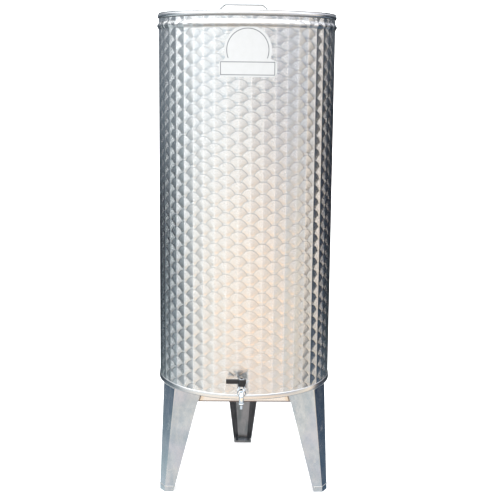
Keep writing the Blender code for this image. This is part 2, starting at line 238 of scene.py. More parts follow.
def engineTurnedSteel():
    # round spots in columns, each with circular scratches, a worn rim, a thin outline of painted shade,
    # and a painted highlight down each column's middle
    s = steelFinish("engineTurnedSteel")
    x, y, z = s.parts(s.place())
    y = y - axisY
    angle = s.maths("ARCTAN2", x, 0 - y)        # 0 at the front, and it wraps at the weld behind
    radius = turned["radius"]
    across, up, number = spotAt(s, angle, z)
    chance = s.node("TexWhiteNoise", {"noise_dimensions": "1D"}, {"W": number})
    out = s.maths("SQRT", across * across + up * up + 1e-8)
    rim = s.steps(out, *(radius - inwards for inwards in turned["rim"]))
    outside = s.maths("SQRT", x * x + y * y) > drumRadius - turned["skin"]

    fine, deep = (
        s.maths("PINGPONG", out + chance * turned["scatter"], length / 2) / (length / 4) - 1.0
        for length in turned["rings"]
    )
    lean = (fine * turned["slope"] + deep ** 3.0 * turned["deep"]) * (1.0 - rim) * outside
    lipped = lean + (rim * turned["lip"] + turned["cone"]) * outside
    rise = rim * (turned["rise"] + turned["shoulder"] * (1.0 - up / out))
    off = s.maths("FRACT", (angle - turned["first"]) / turned["column"]) - 0.5
    flat = off * (-turned["flat"] * turned["column"]) - (off * 2.0) ** 5.0 * turned["ridge"]
    sideways = s.vector("NORMALIZE", s.joined(0 - y, x, 0.0))
    turn = s.vector(
        "ADD", s.scaled(sideways, lipped * across / out + flat * outside),
        s.joined(0.0, 0.0, lean * up / out + rise * outside),
    )
    level = s.node("NewGeometry", out=1)
    normal = s.vector("NORMALIZE", s.vector("ADD", level, turn))

    # painted highlight: a brighter line down each column's middle
    line = s.steps(s.maths("ABSOLUTE", across), *turned["middle"])
    # painted shade: a dark line inside each spot's edge, full near its top and fainter at its sides
    edge = s.steps(out, *(radius - inwards for inwards in turned["edge"]))
    edge = edge * s.steps(up / out, 0.0, turned["nearTop"], turned["sides"], 1.0) * outside
    colour = s.mix(edge, s.mix(line, turned["sheet"], turned["bright"]), turned["dull"])
    rough = turned["smooth"] + chance * turned["varies"] + rim * turned["worn"]
    return s.show(Base_Color=colour, Roughness=s.blend(outside, turned["inside"], rough), Normal=normal)


bright = {
    "hazy": (0.74, 0.75, 0.77, 1),
    "clear": (0.84, 0.84, 0.84, 1),
    "scratches": (60, 60, 1400),    # fine ones that run round the drum
    "depth": 0.00002,
    "smooth": 0.12,
}


def brightSteel():
    # rolled edges and the lid: mill sheet with long fine scratches and a little haze
    s = steelFinish("brightSteel")
    place = s.place()
    fine = s.noise(s.stretched(place, bright["scratches"]), 1.0, 3.0)
    haze = s.noise(place, 16.0, 4.0, 0.6)
    colour = s.mix(haze, bright["hazy"], bright["clear"])
    rough = bright["smooth"] + fine * 0.10 + haze * 0.14
    return s.show(Base_Color=colour, Roughness=rough, Normal=s.bump(fine, bright["depth"], 0.4))


satin = {
    "dull": (0.53, 0.60, 0.65, 1),
    "clear": (0.74, 0.79, 0.82, 1),
    "lilac": (0.68, 0.67, 0.76, 1),
    "rubbed": (0.84, 0.88, 0.90, 1),
    "shadedHollow": ((0.22, 0.24, 0.25, 1), (0.36, 0.36, 0.38, 1)),       # painted shade on the side towards the axis
    "lines": (600, 600, 26),        # drawn down the legs
    "cross": (20, 20, 620),         # and across them
    "depth": 0.00009,
    "smooth": 0.15,
}


def satinSteel():
    # legs: clouded sheet with drawn lines and rubbed patches, and painted shade darkening its hollow side
    s = steelFinish("satinSteel")
    place = s.place()
    x, y = s.parts(place)[:2]
    y = y - axisY
    faceX, faceY = s.parts(s.facing())[:2]
    # how far a face turns towards the axis: the mask of the painted shade
    inwards = s.steps((faceX * x + faceY * y) / s.maths("SQRT", x * x + y * y + 1e-6), 0.06, -0.06)
    cloud = s.noise(place, 17.0, 5.0, 0.62)
    blotch = s.noise(s.stretched(place, (1.0, 1.0, 0.45)), 46.0, 4.0, 0.65)
    lines = s.noise(s.stretched(place, satin["lines"]), 1.0, 2.0)
    cross = s.noise(s.stretched(place, satin["cross"]), 1.0, 2.0)
    rubbed = s.steps(s.noise(place, 24.0, 3.0, 0.7), 0.62, 0.74)
    colour = s.mix(s.steps(cloud * 0.6 + blotch * 0.4, 0.36, 0.64), satin["dull"], satin["clear"])
    colour = s.mix(s.steps(s.noise(place, 9.0, 3.0), 0.44, 0.66) * 0.5, colour, satin["lilac"])
    colour = s.mix(rubbed * blotch, colour, satin["rubbed"])
    # painted shade: faces towards the axis are darkened where the legs' channels lie in shade
    colour = s.mix(inwards, colour, s.mix(s.steps(blotch, 0.35, 0.65), *satin["shadedHollow"]))
    rough = satin["smooth"] + s.steps(blotch, 0.35, 0.70) * 0.09 + lines * 0.05
    rough = rough + rubbed * 0.10 + inwards * 0.12
    height = lines * 0.5 + cross * 0.35 + blotch * 0.6
    return s.show(Base_Color=colour, Roughness=rough, Normal=s.bump(height, satin["depth"], 0.6))


bars = {
    "face": 0.1380,                 # from the axis to a crossbar's outer face
    "half": 0.1270,                 # half its length, at its foot
    "foot": 0.2605,
    "lean": 0.273,                  # how its ends draw in upwards
    "clean": ((0.84, 0.86, 0.87, 1), (0.92, 0.92, 0.92, 1)),
    "straw": (0.82, 0.77, 0.68, 1),
    "strawFrom": (0.016, 0.007),    # where that tint starts and is full, from the bar's end
    # dark heat tint at the bar's ends, there also painted shade for the gap beside each leg's wall, and
    # used for the painted shade line along its foot
    "burnt": (0.20, 0.17, 0.17, 1),
    "burntTintAndShadeFrom": (0.006, 0.002),
    "paintedShadeLine": (0.0036, 0.0020),    # and where the painted shade line along its foot starts and is full
    "ragged": 0.006,                # how uneven the tints' borders are
}


def barSteel():
    # flat bar, tinted by the heat of its welds, with painted shade at its ends beside the legs and a
    # painted shade line along its lower edge
    s = steelFinish("barSteel")
    place = s.place()
    x, y, z = s.parts(place)
    turn = s.maths("ARCTAN2", x, axisY - y)
    third = (s.maths("FRACT", turn * (3 / (2 * pi)) + 0.5) - 0.5) * (2 * pi / 3)
    along = s.maths("ABSOLUTE", s.maths("TANGENT", third)) * bars["face"]
    cloud = s.noise(place, 30.0, 4.0, 0.6)
    left = bars["half"] - (z - bars["foot"]) * bars["lean"] - along + (cloud - 0.5) * bars["ragged"]
    colour = s.mix(cloud, *bars["clean"])
    colour = s.mix(s.steps(left, *bars["strawFrom"]), colour, bars["straw"])
    # heat tint darkest at the very ends, there also painted shade in the gap beside each leg
    colour = s.mix(s.steps(left, *bars["burntTintAndShadeFrom"]), colour, bars["burnt"])
    # painted shade: a dark line along the bar's lower edge
    paintedShadeLine = s.steps(z, *(bars["foot"] + up for up in bars["paintedShadeLine"]))
    colour = s.mix(paintedShadeLine, colour, bars["burnt"])
    lines = s.noise(s.stretched(place, (20, 20, 700)), 1.0, 2.0)
    return s.show(Base_Color=colour, Roughness=0.10 + cloud * 0.10, Normal=s.bump(lines, 0.00003, 0.4))


plate = {"bright": (0.86, 0.92, 0.98, 1), "marked": (0.76, 0.82, 0.88, 1), "smooth": 0.05}


def chromePlate():
    # bright plating with wiped water marks
    s = steelFinish("chromePlate")
    place = s.place()
    cloud = s.noise(place, 90.0, 3.0)
    marks = s.steps(s.noise(place, 210.0, 2.0, 0.4), 0.60, 0.70)
    colour = s.mix(marks, plate["bright"], plate["marked"])
    return s.show(Base_Color=colour, Roughness=plate["smooth"] + cloud * 0.07 + marks * 0.08)


drawn = {
    "dark": (0.58, 0.59, 0.60, 1),
    "pale": (0.68, 0.69, 0.70, 1),
    # colour of the painted shade on the bar's underside
    "under": (0.17, 0.17, 0.165, 1),
    "smooth": 0.14,
}


def drawnBar():
    # the lid's bar: drawn wire, with painted shade greying its underside
    s = steelFinish("drawnBar")
    faceZ = s.parts(s.facing())[2]
    grain = s.noise(s.stretched(s.place(), (40, 900, 900)), 1.0, 2.0)
    # painted shade on faces that look downwards
    under = s.steps(faceZ, 0.25, -0.55)
    colour = s.mix(under, s.mix(grain, drawn["dark"], drawn["pale"]), drawn["under"])
    return s.show(Base_Color=colour, Roughness=drawn["smooth"] + grain * 0.12)


plain = {
    "plastic": (0.012, 0.012, 0.013, 1),
    "rubber": ((0.02, 0.02, 0.02, 1), (0.05, 0.05, 0.05, 1)),
    "weld": ((0.62, 0.60, 0.56, 1), (0.80, 0.80, 0.80, 1)),
}


def blackPlastic():
    s = Finish(bpy.data.materials.new("blackPlastic"), {"IOR": 1.5})
    cloud = s.noise(s.place(), 160.0, 3.0)
    return s.show(Base_Color=plain["plastic"], Roughness=0.28 + cloud * 0.14)


def rubber():
    s = Finish(bpy.data.materials.new("sealRubber"), {"Roughness": 0.8})
    cloud = s.noise(s.place(), 300.0, 3.0)
    return s.show(Base_Color=s.mix(cloud, *plain["rubber"]))


def weldMetal():
    s = steelFinish("weldMetal")
    cloud = s.noise(s.place(), 240.0, 3.0)
    return s.show(Base_Color=s.mix(cloud, *plain["weld"]), Roughness=0.2 + cloud * 0.2)


# blank sticker: a disc over a wider band, in one piece
sticker = {
    "disc": 0.0610,                 # radius
    "discAt": 1.2108,
    "band": 0.150,
    "bandHigh": 0.0425,
    "bandAt": 1.1652,
    "corner": 0.012,
    "short": 4,                     # the disc's edge stops this many degrees above the band
    "thick": 0.0002,
    "lift": 0.00005,                # off the sheet
    "strips": 40,                   # cuts that let it follow the drum
    "off": 0.0006,                  # to the right of the front's middle
    "ahead": 0.30,                  # where it is cut out flat, in front of the axis
}
printed = {
    "ring": 0.0535,                 # radius of the line round the disc
    "ringFrom": 1.1905,             # which shows above this height
    "half": 0.0695,                 # half the length of the frame on the band
    "high": 0.0160,                 # and half its height
    "thick": 0.0009,                # half a line's thickness
    "blur": 0.0002,
    "roundAt": 0.2405,              # how far from the axis the print's widths are right
    "ink": (0.10, 0.11, 0.12, 1),
    "paper": ((0.55, 0.55, 0.54, 1), (0.60, 0.60, 0.60, 1)),
}


def inked(s, distance):
    thick, blur = printed["thick"], printed["blur"]
    return s.steps(s.maths("ABSOLUTE", distance), thick + blur, thick - blur)


def vinyl():
    # blank sticker with a plain printed ring and frame
    s = Finish(bpy.data.materials.new("stickerVinyl"), {"Coat Weight": 0.3})
    place = s.place()
    x, y, z = s.parts(place)
    across = s.maths("ARCTAN2", x, axisY - y) * printed["roundAt"]
    up = z - sticker["discAt"]
    ring = inked(s, s.maths("SQRT", across * across + up * up) - printed["ring"])
    ring = ring * (z > printed["ringFrom"])
    above = s.maths("ABSOLUTE", z - sticker["bandAt"]) - printed["high"]
    beside = s.maths("ABSOLUTE", across) - printed["half"]
    border = inked(s, s.maths("MAXIMUM", beside, above))
    cloud = s.noise(place, 60.0, 3.0)
    colour = s.mix(s.maths("MAXIMUM", ring, border), s.mix(cloud, *printed["paper"]), printed["ink"])
    return s.show(Base_Color=colour, Roughness=0.35 + cloud * 0.1)


finishes = {
    "patterned_steel": engineTurnedSteel(),
    "bright_steel": brightSteel(),
    "satin_steel": satinSteel(),
    "bar_steel": barSteel(),
    "drawn_bar": drawnBar(),
    "chrome_plate": chromePlate(),
    "black_plastic": blackPlastic(),
    "seal_rubber": rubber(),
    "weld": weldMetal(),
    "sticker_vinyl": vinyl(),
}
print("materials made")


# modelling

merged = 0.00002        # points nearer to each other than this become one
pole = 0.00001          # radius of a ring whose points do
easing = {
    "level": 0.8,       # an edge between faces that differ by fewer degrees than this goes
    "sharp": 30,        # and one between faces that differ by more than this is eased
    "segments": 2,
}
ripples = {"high": 0.16, "end": 0.45}       # how thick a weld bead's ripples and ends are, as shares


def cleared():
    if bpy.context.object and bpy.context.object.mode != "OBJECT":
        bpy.ops.object.mode_set(mode="OBJECT")
    bpy.ops.object.select_all(action="DESELECT")


def only(obj):
    cleared()
    obj.select_set(True)
    bpy.context.view_layer.objects.active = obj


def settled(obj, name, slot, body="barrel", stands=(), smooth=35, flat=False):
    # flat: broad faces keep their own direction and only the eased edges are shaded round
    only(obj)
    bpy.ops.object.transform_apply(location=True, rotation=True, scale=True)
    bpy.ops.object.shade_smooth_by_angle(angle=radians(smooth))
    if flat:
        weights = obj.modifiers.new("weights", "WEIGHTED_NORMAL")
        weights.keep_sharp = True
        bpy.ops.object.modifier_apply(modifier="weights")
    obj.name = obj.data.name = name
    obj.data.materials.clear()
    obj.data.materials.append(finishes[slot])
    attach(obj, body)
    if stands:
        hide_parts(*stands)


def spun(rings, around):
    # rings of (radius, height), each one extruded from the last, and the last joined to the first
    cleared()
    radius, height = rings[0]
    bpy.ops.mesh.primitive_circle_add(vertices=around, radius=radius, location=(0, axisY, height))
    obj = bpy.context.object
    bpy.ops.object.mode_set(mode="EDIT")
    bpy.ops.mesh.select_all(action="SELECT")
    for nextRadius, nextHeight in rings[1:] + rings[:1]:
        bpy.ops.mesh.extrude_region_move(TRANSFORM_OT_translate={"value": (0, 0, nextHeight - height)})
        share = nextRadius / radius
        bpy.ops.transform.resize(value=(share, share, 1), center_override=(0, axisY, nextHeight))
        radius, height = nextRadius, nextHeight
    bpy.ops.mesh.select_all(action="SELECT")
    bpy.ops.mesh.remove_doubles(threshold=merged)
    bpy.ops.mesh.normals_make_consistent(inside=False)
    bpy.ops.object.mode_set(mode="OBJECT")
    return obj


def refined(node, bevel, segments=easing["segments"]):
    # a CAD solid's own shape, welded up and with its edges eased
    copy = bpy.data.objects.new(node + "Look", nodes[node].data.copy())
    bpy.context.scene.collection.objects.link(copy)
    only(copy)
    bpy.ops.mesh.customdata_custom_splitnormals_clear()
    bpy.ops.object.mode_set(mode="EDIT")
    bpy.ops.mesh.select_all(action="SELECT")
    bpy.ops.mesh.remove_doubles(threshold=merged)
    bpy.ops.mesh.dissolve_limited(angle_limit=radians(easing["level"]))
    bpy.ops.object.mode_set(mode="OBJECT")
    if bevel:
        ease = copy.modifiers.new("ease", "BEVEL")
        ease.width, ease.segments = bevel, segments
        ease.limit_method, ease.angle_limit = "ANGLE", radians(easing["sharp"])
        bpy.ops.object.modifier_apply(modifier="ease")
    return copy


def arc(centre, radius, start, end, steps):
    return [
        (
            centre[0] + radius * cos(radians(start + (end - start) * i / steps)),
            centre[1] + radius * sin(radians(start + (end - start) * i / steps)),
        )
        for i in range(steps + 1)
    ]


def eased(corners, radius, steps=6):
    # a line of points with its inner corners rounded
    points = [Vector(corners[0])]
    for before, corner, after in zip(corners, corners[1:], corners[2:]):
        into = (Vector(before) - Vector(corner)).normalized()
        away = (Vector(after) - Vector(corner)).normalized()
        half = into.angle(away) / 2
        middle = Vector(corner) + (into + away).normalized() * radius / sin(half)
        start, end = (Vector(corner) + way * radius / tan(half) - middle for way in (into, away))
        for i in range(steps + 1):
            points.append(middle + start.normalized().slerp(end.normalized(), i / steps) * radius)
    points.append(Vector(corners[-1]))
    return points


def rodAlong(points, radii, sides):
    # a round bar or a weld bead that follows a line of points
    cleared()
    curve = bpy.data.curves.new("line", "CURVE")
    curve.dimensions = "3D"
    curve.bevel_depth = 1.0
    curve.bevel_resolution = sides
    curve.use_fill_caps = True
    spline = curve.splines.new("POLY")
    spline.points.add(len(points) - 1)
    for point, place, radius in zip(spline.points, points, radii):
        point.co = (*place, 1)
        point.radius = radius
    obj = bpy.data.objects.new("line", curve)
    bpy.context.scene.collection.objects.link(obj)
    only(obj)
    bpy.ops.object.convert(target="MESH")
    obj = bpy.context.object
    bpy.ops.object.mode_set(mode="EDIT")
    bpy.ops.mesh.select_all(action="SELECT")
    bpy.ops.mesh.remove_doubles(threshold=merged / 2)
    bpy.ops.mesh.normals_make_consistent(inside=False)
    bpy.ops.object.mode_set(mode="OBJECT")
    return obj


def weld(points, radius, step):
    # a rippled bead laid along straight runs between points
    line = []
    for start, end in zip(points, points[1:]):
        run = Vector(end) - Vector(start)
        count = max(2, round(run.length / step))
        line += [Vector(start) + run * (i / count) for i in range(count)]
    line.append(Vector(points[-1]))
    radii = [radius * (1.0 + ripples["high"] * (i % 2)) for i in range(len(line))]
    radii[0] = radii[-1] = radius * ripples["end"]
    return rodAlong(line, radii, 2)


def joinedUp(objects):
    cleared()
    for obj in objects:
        obj.select_set(True)
    bpy.context.view_layer.objects.active = objects[0]
    bpy.ops.object.join()
    return bpy.context.object


def turnedTo(obj, degreesRound):
    # swings a piece round the drum's axis
    obj.data.transform(
        Matrix.Translation((0, axisY, 0))
        @ Matrix.Rotation(radians(degreesRound), 4, "Z")
        @ Matrix.Translation((0, -axisY, 0))
    )
    return obj


# the drum's sheet
drum = {
    "sheet": 0.001,
    "top": 1.2952,
    "bottom": 0.3015,
    "bead": 1.2768,                 # height of the swaged bead's middle
    "half": 0.0095,                 # half its height
    "out": 0.0045,                  # how far it stands out
    "steps": 16,
    "beside": 0.0015,               # rings this close to the bead keep its shading off the flat wall
    "rings": (0.80, 0.3155),        # heights of two more on that wall
    "around": 192,                  # facets round the drum
}


def beadPoint(share):
    # the bead's profile, from its top to its foot
    swell = drum["out"] * sin(pi * share) ** 1.5
    return drumRadius + swell, drum["bead"] + drum["half"] * (1 - 2 * share)


def makeShell():
    d = drum
    above = d["bead"] + d["half"] + d["beside"]
    below = d["bead"] - d["half"] - d["beside"]
    outer = [(drumRadius, d["top"]), (drumRadius, above)]
    outer += [beadPoint(i / d["steps"]) for i in range(d["steps"] + 1)]
    outer += [(drumRadius, z) for z in (below, *d["rings"], d["bottom"])]
    inner = [(r - d["sheet"], z) for r, z in reversed(outer)]
    settled(spun(outer + inner, d["around"]), "drumSheet", "patterned_steel", stands=["shell"])


# rolled rim, hem and bottom
ends = {
    "rimSection": 0.0068,           # radius of the roll
    "rimMiddle": 0.2365,            # from the axis to its middle
    "rimTop": 1.3091,
    "hemFoot": 0.300,
    "hemTop": 0.3138,
    "hemOut": 0.2423,
    "hemOver": 0.2402,              # its side against the drum's sheet
    "hemOverTop": 0.0010,           # which ends this far under its top
    "topRound": 0.0026,
    "topIn": 0.0034,                # from its outside to the middle of that round
    "slope": ((0.0004, 0.0066), (0.0, 0.0024)),     # down its outside: how far in, and from top and foot
    "footRound": 0.0020,
    "hemIn": 0.2375,                # where its edge is folded up inside
    "fold": 0.0012,                 # thickness of the edge folded up inside
    "foldUp": 0.0069,
    "foldRound": 0.0012,
    "foldGap": 0.0001,
    "plate": 0.316,                 # top of the bottom plate
    "flat": 0.12,                   # radius of a ring on it
    "flange": 0.2387,
    "fillet": 0.006,
}


def makeEnds():
    e = ends
    centre = (e["rimMiddle"], e["rimTop"] - e["rimSection"])
    rim = spun(arc(centre, e["rimSection"], 0, -337.5, 30), drum["around"])
    settled(rim, "rolledRim", "bright_steel", stands=["rim_roll"], smooth=60)

    out, foot, top = e["hemOut"], e["hemFoot"], e["hemTop"]
    (upperIn, underTop), (lowerIn, overFoot) = e["slope"]
    rounded, folded = e["footRound"], e["foldRound"]
    inner = e["hemIn"] - e["fold"]
    inside = e["hemIn"] - e["foldGap"]
    hem = arc((out - e["topIn"], top - e["topRound"]), e["topRound"], 95, 8, 6)
    hem += [(out - upperIn, top - underTop), (out - lowerIn, foot + overFoot)]
    hem += arc((out - rounded, foot + rounded), rounded, 0, -90, 6)
    hem += arc((inner + folded, foot + folded), folded, -90, -180, 4)
    hem += [(inner, foot + e["foldUp"]), (inside, foot + e["foldUp"]), (inside, foot + e["fold"])]
    hem += [(e["hemOver"], foot + e["fold"]), (e["hemOver"], top - e["hemOverTop"])]
    settled(spun(hem, drum["around"]), "bottomHem", "bright_steel", stands=["bottom_hem"], smooth=40)

    corner = (e["flange"] - e["fillet"], e["plate"] - e["fillet"])
    faces = []
    for depth in (0, drum["sheet"]):
        face = [(pole, e["plate"] - depth), (e["flat"], e["plate"] - depth)]
        face += arc(corner, e["fillet"] - depth, 90, 0, 8)
        faces.append(face + [(e["flange"] - depth, drum["bottom"])])
    upper, lower = faces
    pan = spun(list(reversed(lower)) + upper, drum["around"])
    settled(pan, "bottomPlate", "bright_steel", stands=["bottom_plate"], smooth=40)


# pressed lid with its bent bar
lidding = {
    "seat": 1.3102,                 # height at which it rests on the rim
    "sheet": 0.0008,
    "plug": 0.2245,                 # radius of the part that hangs in the mouth
    "depth": 0.009,
    "panel": 0.125,                 # radius of the raised middle
    "up": 0.0042,                   # and how far it is raised
    "rings": (0.06, 0.17, 0.2345),  # radii of plain rings on the middle, the floor and the seat
    # outline as (out, up) from the middle's edge, the same from the floor, and from the plug's side
    "shoulder": ((-0.004, 0.0), (-0.001, -0.0002), (0.0015, -0.0010)),
    "slopeFoot": ((0.0062, 0.0010), (0.0088, 0.0002), (0.012, 0.0)),
    "corner": ((-0.0065, 0.0), (-0.0030, 0.0004), (-0.0012, 0.0018)),
    "mouth": ((-0.0002, -0.0030), (0.0006, -0.0008), (0.0022, 0.0)),
    "out": 0.2411,
    "curl": 0.0013,                 # radius of the curled edge
    "curlUnder": 0.0008,            # its middle, under the seat
    "barRadius": 0.003,
    "barTop": 1.3398,
    "flat": 0.0515,                 # half the length of the bar's level part
    "slope": 41,
    "bend": 0.010,
    "toe": 0.016,                   # length that lies on the lid
    "rests": 0.0003,
    "off": -0.0092,                 # to the left of the axis
}
barWeld = {"from": 0.002, "to": 0.001, "beside": 0.0024, "up": 0.0005, "bead": 0.0011, "step": 0.0011}


def makeLid():
    d = lidding
    low = d["seat"] - d["depth"]
    panel = low + d["up"]
    onPanel, onFloor, onSeat = d["rings"]

    def stretch(name, radius, height):
        return [(radius + out, height + up) for out, up in d[name]]

    upper = [(pole, panel), (onPanel, panel)]
    upper += stretch("shoulder", d["panel"], panel) + stretch("slopeFoot", d["panel"], low)
    upper += [(onFloor, low)] + stretch("corner", d["plug"], low)
    upper += stretch("mouth", d["plug"], d["seat"]) + [(onSeat, d["seat"])]
    upper += arc((d["out"] - d["curl"], d["seat"] - d["curlUnder"]), d["curl"], 100, -80, 8)
    lower = []
    for (r, z), (r2, z2) in zip(upper, upper[1:]):
        run = Vector((r2 - r, z2 - z)).normalized()
        lower.append((max(r + run.y * d["sheet"], pole), z - run.x * d["sheet"]))
    lower[0] = (pole, panel - d["sheet"])
    lid = spun(list(reversed(lower)) + upper, drum["around"])
    settled(lid, "lidPanel", "bright_steel", "lid", ["lid"], smooth=45)

    top = d["barTop"] - d["barRadius"]
    rest = panel + d["rests"] + d["barRadius"]
    reach = d["flat"] + (top - rest) / tan(radians(d["slope"]))
    half = [(-reach - d["toe"], rest), (-reach, rest), (-d["flat"], top)]
    line = eased(half + [(-x, z) for x, z in reversed(half)], d["bend"])
    points = [(p.x + d["off"], axisY, p.y) for p in line]
    bar = rodAlong(points, [d["barRadius"]] * len(points), 6)
    settled(bar, "lidBar", "drawn_bar", "lid", ["lid_handle"], smooth=50)

    w = barWeld
    beads = []
    for side in (-1, 1):
        start = d["off"] + side * (reach + w["from"])
        end = d["off"] + side * (reach + d["toe"] - w["to"])
        for over in (-1, 1):
            y = axisY + over * w["beside"]
            run = [(x, y, panel + w["up"]) for x in (start, end)]
            beads.append(weld(run, w["bead"], w["step"]))
    settled(joinedUp(beads), "lidBarWelds", "weld", "lid", smooth=60)


# folded legs on their feet, and the crossbars between them
legs = {"left": 210, "right": 330, "back": 90}      # where each stands, in degrees round the axis from +X
legSheet = {
    # half the width, and the distance from the axis, of the web and of the side walls' edges
    "webTop": (0.0342, 0.2400),
    "webFoot": (0.0143, 0.2631),
    "edgeTop": (0.0605, 0.1710),
    "edgeFoot": (0.0264, 0.2419),
    "top": 0.300,
    "footHeight": 0.015,            # the folded sheet starts here, on its foot
    "gap": 0.0002,                  # under the hem
    "sheet": 0.002,
    "rows": 14,
    "bend": (0.0022, 0.0040),       # radius of the folds, at the foot and at the top
    "shares": (0.42, 0.845),        # where a side wall is divided, from its edge
    "tuck": 0.0147,                 # how far the side walls reach up inside the hem
    "ease": 0.0005,
    "footEase": 0.0004,
}
footWeld = {"inset": 0.12, "corner": 0.0026, "up": 0.00015, "bead": 0.0011, "step": 0.0013}


def legPoint(corner, z, side):
    # a point of a leg that stands at the back: its web's or its side wall's edge, at a height
    (halfTop, farTop), (halfFoot, farFoot) = legSheet[corner + "Top"], legSheet[corner + "Foot"]
    share = z / legSheet["top"]
    half = halfFoot + (halfTop - halfFoot) * share
    return Vector((side * half, axisY + farFoot + (farTop - farFoot) * share))


def legCorners(z):
    # one side wall's edge, the two folds, and the other wall's edge
    return [legPoint("edge", z, -1), legPoint("web", z, -1), legPoint("web", z, 1), legPoint("edge", z, 1)]


def makeFoldedLeg(azimuth):
    # a channel whose walls turn a little from top to foot, and reach up inside the hem
    d = legSheet
    low, high = d["bend"]
    points = []
    for row in range(d["rows"] + 1):
        share = row / d["rows"]
        z = d["footHeight"] + (d["top"] - d["footHeight"] - d["gap"]) * share
        corners = legCorners(z)
        line = eased(corners, low + (high - low) * share)
        half = len(line) // 2
        middle = line[half - 1].lerp(line[half], 0.5)
        left = [corners[0].lerp(corners[1], s) for s in d["shares"]]
        right = [corners[3].lerp(corners[2], s) for s in reversed(d["shares"])]
        line = line[:1] + left + line[1:half] + [middle] + line[half:-1] + right + line[-1:]
        points += [(*p, z) for p in line]
    across = len(points) // (d["rows"] + 1)
    cleared()
    bpy.ops.mesh.primitive_grid_add(x_subdivisions=across - 1, y_subdivisions=d["rows"], size=1)
    obj = bpy.context.object
    for vertex, point in zip(obj.data.vertices, points):
        vertex.co = point
    bpy.ops.object.mode_set(mode="EDIT")
    bpy.ops.mesh.select_mode(type="VERT")
    bpy.ops.mesh.select_all(action="DESELECT")
    bpy.ops.object.mode_set(mode="OBJECT")
    wall = len(d["shares"]) + 1
    last = d["rows"] * across
    for i in list(range(wall)) + list(range(across - wall, across)):
        obj.data.vertices[last + i].select = True
    bpy.ops.object.mode_set(mode="EDIT")
    bpy.ops.mesh.extrude_region_move(TRANSFORM_OT_translate={"value": (0, 0, d["tuck"])})
    bpy.ops.mesh.select_all(action="SELECT")
    bpy.ops.mesh.normals_make_consistent(inside=False)
    bpy.ops.object.mode_set(mode="OBJECT")
    web = min(obj.data.polygons, key=lambda p: abs(p.center.x) + abs(p.center.z - d["top"] / 2))
    body = obj.modifiers.new("body", "SOLIDIFY")
    body.thickness = d["sheet"]
    body.offset = -1 if web.normal.y > 0 else 1
    body.use_even_offset = True
    bpy.ops.object.modifier_apply(modifier="body")
    ease = obj.modifiers.new("ease", "BEVEL")
    ease.width, ease.segments = d["ease"], 2
    ease.limit_method, ease.angle_limit = "ANGLE", radians(50)
    bpy.ops.object.modifier_apply(modifier="ease")
    return turnedTo(obj, azimuth - 90)


def makeLegs():
    d, w = legSheet, footWeld
    for name, azimuth in legs.items():
        node = "back" if name == "back" else "front_" + name
        leg = makeFoldedLeg(azimuth)
        settled(leg, name + "Leg", "satin_steel", stands=["leg_" + node], smooth=40, flat=True)
        foot = refined("foot_" + node, d["footEase"])
        settled(foot, name + "Foot", "satin_steel", stands=["foot_" + node], smooth=40, flat=True)
        line = legCorners(d["footHeight"])
        line[0] += (line[1] - line[0]) * w["inset"]
        line[-1] += (line[-2] - line[-1]) * w["inset"]
        run = [(*p, d["footHeight"] + w["up"]) for p in eased(line, w["corner"], 5)]
        bead = turnedTo(weld(run, w["bead"], w["step"]), azimuth - 90)
        settled(bead, name + "FootWeld", "weld", smooth=60)
    for name in ("front", "right", "left"):
        bar = refined("crossbar_" + name, d["ease"])
        settled(bar, name + "Bar", "bar_steel", stands=["crossbar_" + name], smooth=40, flat=True)


# tap: each piece's finish, how far its edges are eased, and up to which angle it is shaded round
tap = {
    "tap_body": ("chrome_plate", 0.0, 40),
    "tap_spout": ("chrome_plate", 0.0, 50),
    "tap_nozzle": ("chrome_plate", 0.00025, 45),
    "tap_union_nut": ("chrome_plate", 0.0005, 30),
    "tap_packing_nut": ("chrome_plate", 0.0003, 30),
    "tap_socket": ("bright_steel", 0.0003, 35),
    "tap_washer": ("seal_rubber", 0.0002, 35),
}
# its lever: the same, with each piece's own name and the segments of its eased edges
lever = {
    "tap_lever": ("tapHandle", "black_plastic", 0.0007, 3, 40),
    "lever_washer": ("tapHandleWasher", "satin_steel", 0.0003, 2, 35),
    "lever_screw": ("tapHandleCap", "black_plastic", 0.0003, 2, 35),
}


def makeTap():
    for node, (slot, bevel, smooth) in tap.items():
        first, *others = node.split("_")
        name = first + "".join(word.capitalize() for word in others)
        settled(refined(node, bevel), name, slot, "barrel", [node], smooth, bevel > 0)
    for node, (name, slot, bevel, segments, smooth) in lever.items():
        settled(refined(node, bevel, segments), name, slot, "tap_lever", [node], smooth)


# beads that hold bars and legs, and the weld down the back
welding = {
    "bead": 0.0012,                 # radius of the beads at the bars' ends
    "step": 0.0014,
    "barFoot": 0.2615,              # and the heights between which they run
    "barTop": 0.2990,
    "edge": 0.1699,                 # from the axis to a leg's side wall, at the legs' top
    "lean": 0.2363,                 # and how it leans out downwards
    "ahead": 0.0002,                # how far a bead's middle lies in front of its face
    "hemBead": 0.0009,              # radius of the beads under the hem
    "hemStep": 0.0013,
    "hemAt": 0.2992,
    "hemInset": 0.003,              # from a web's side
    "seamWide": 0.0042,
    "seamHigh": 0.0003,
    "seamFoot": 0.3145,
    "seamSteps": 12,                # over the swaged bead
}


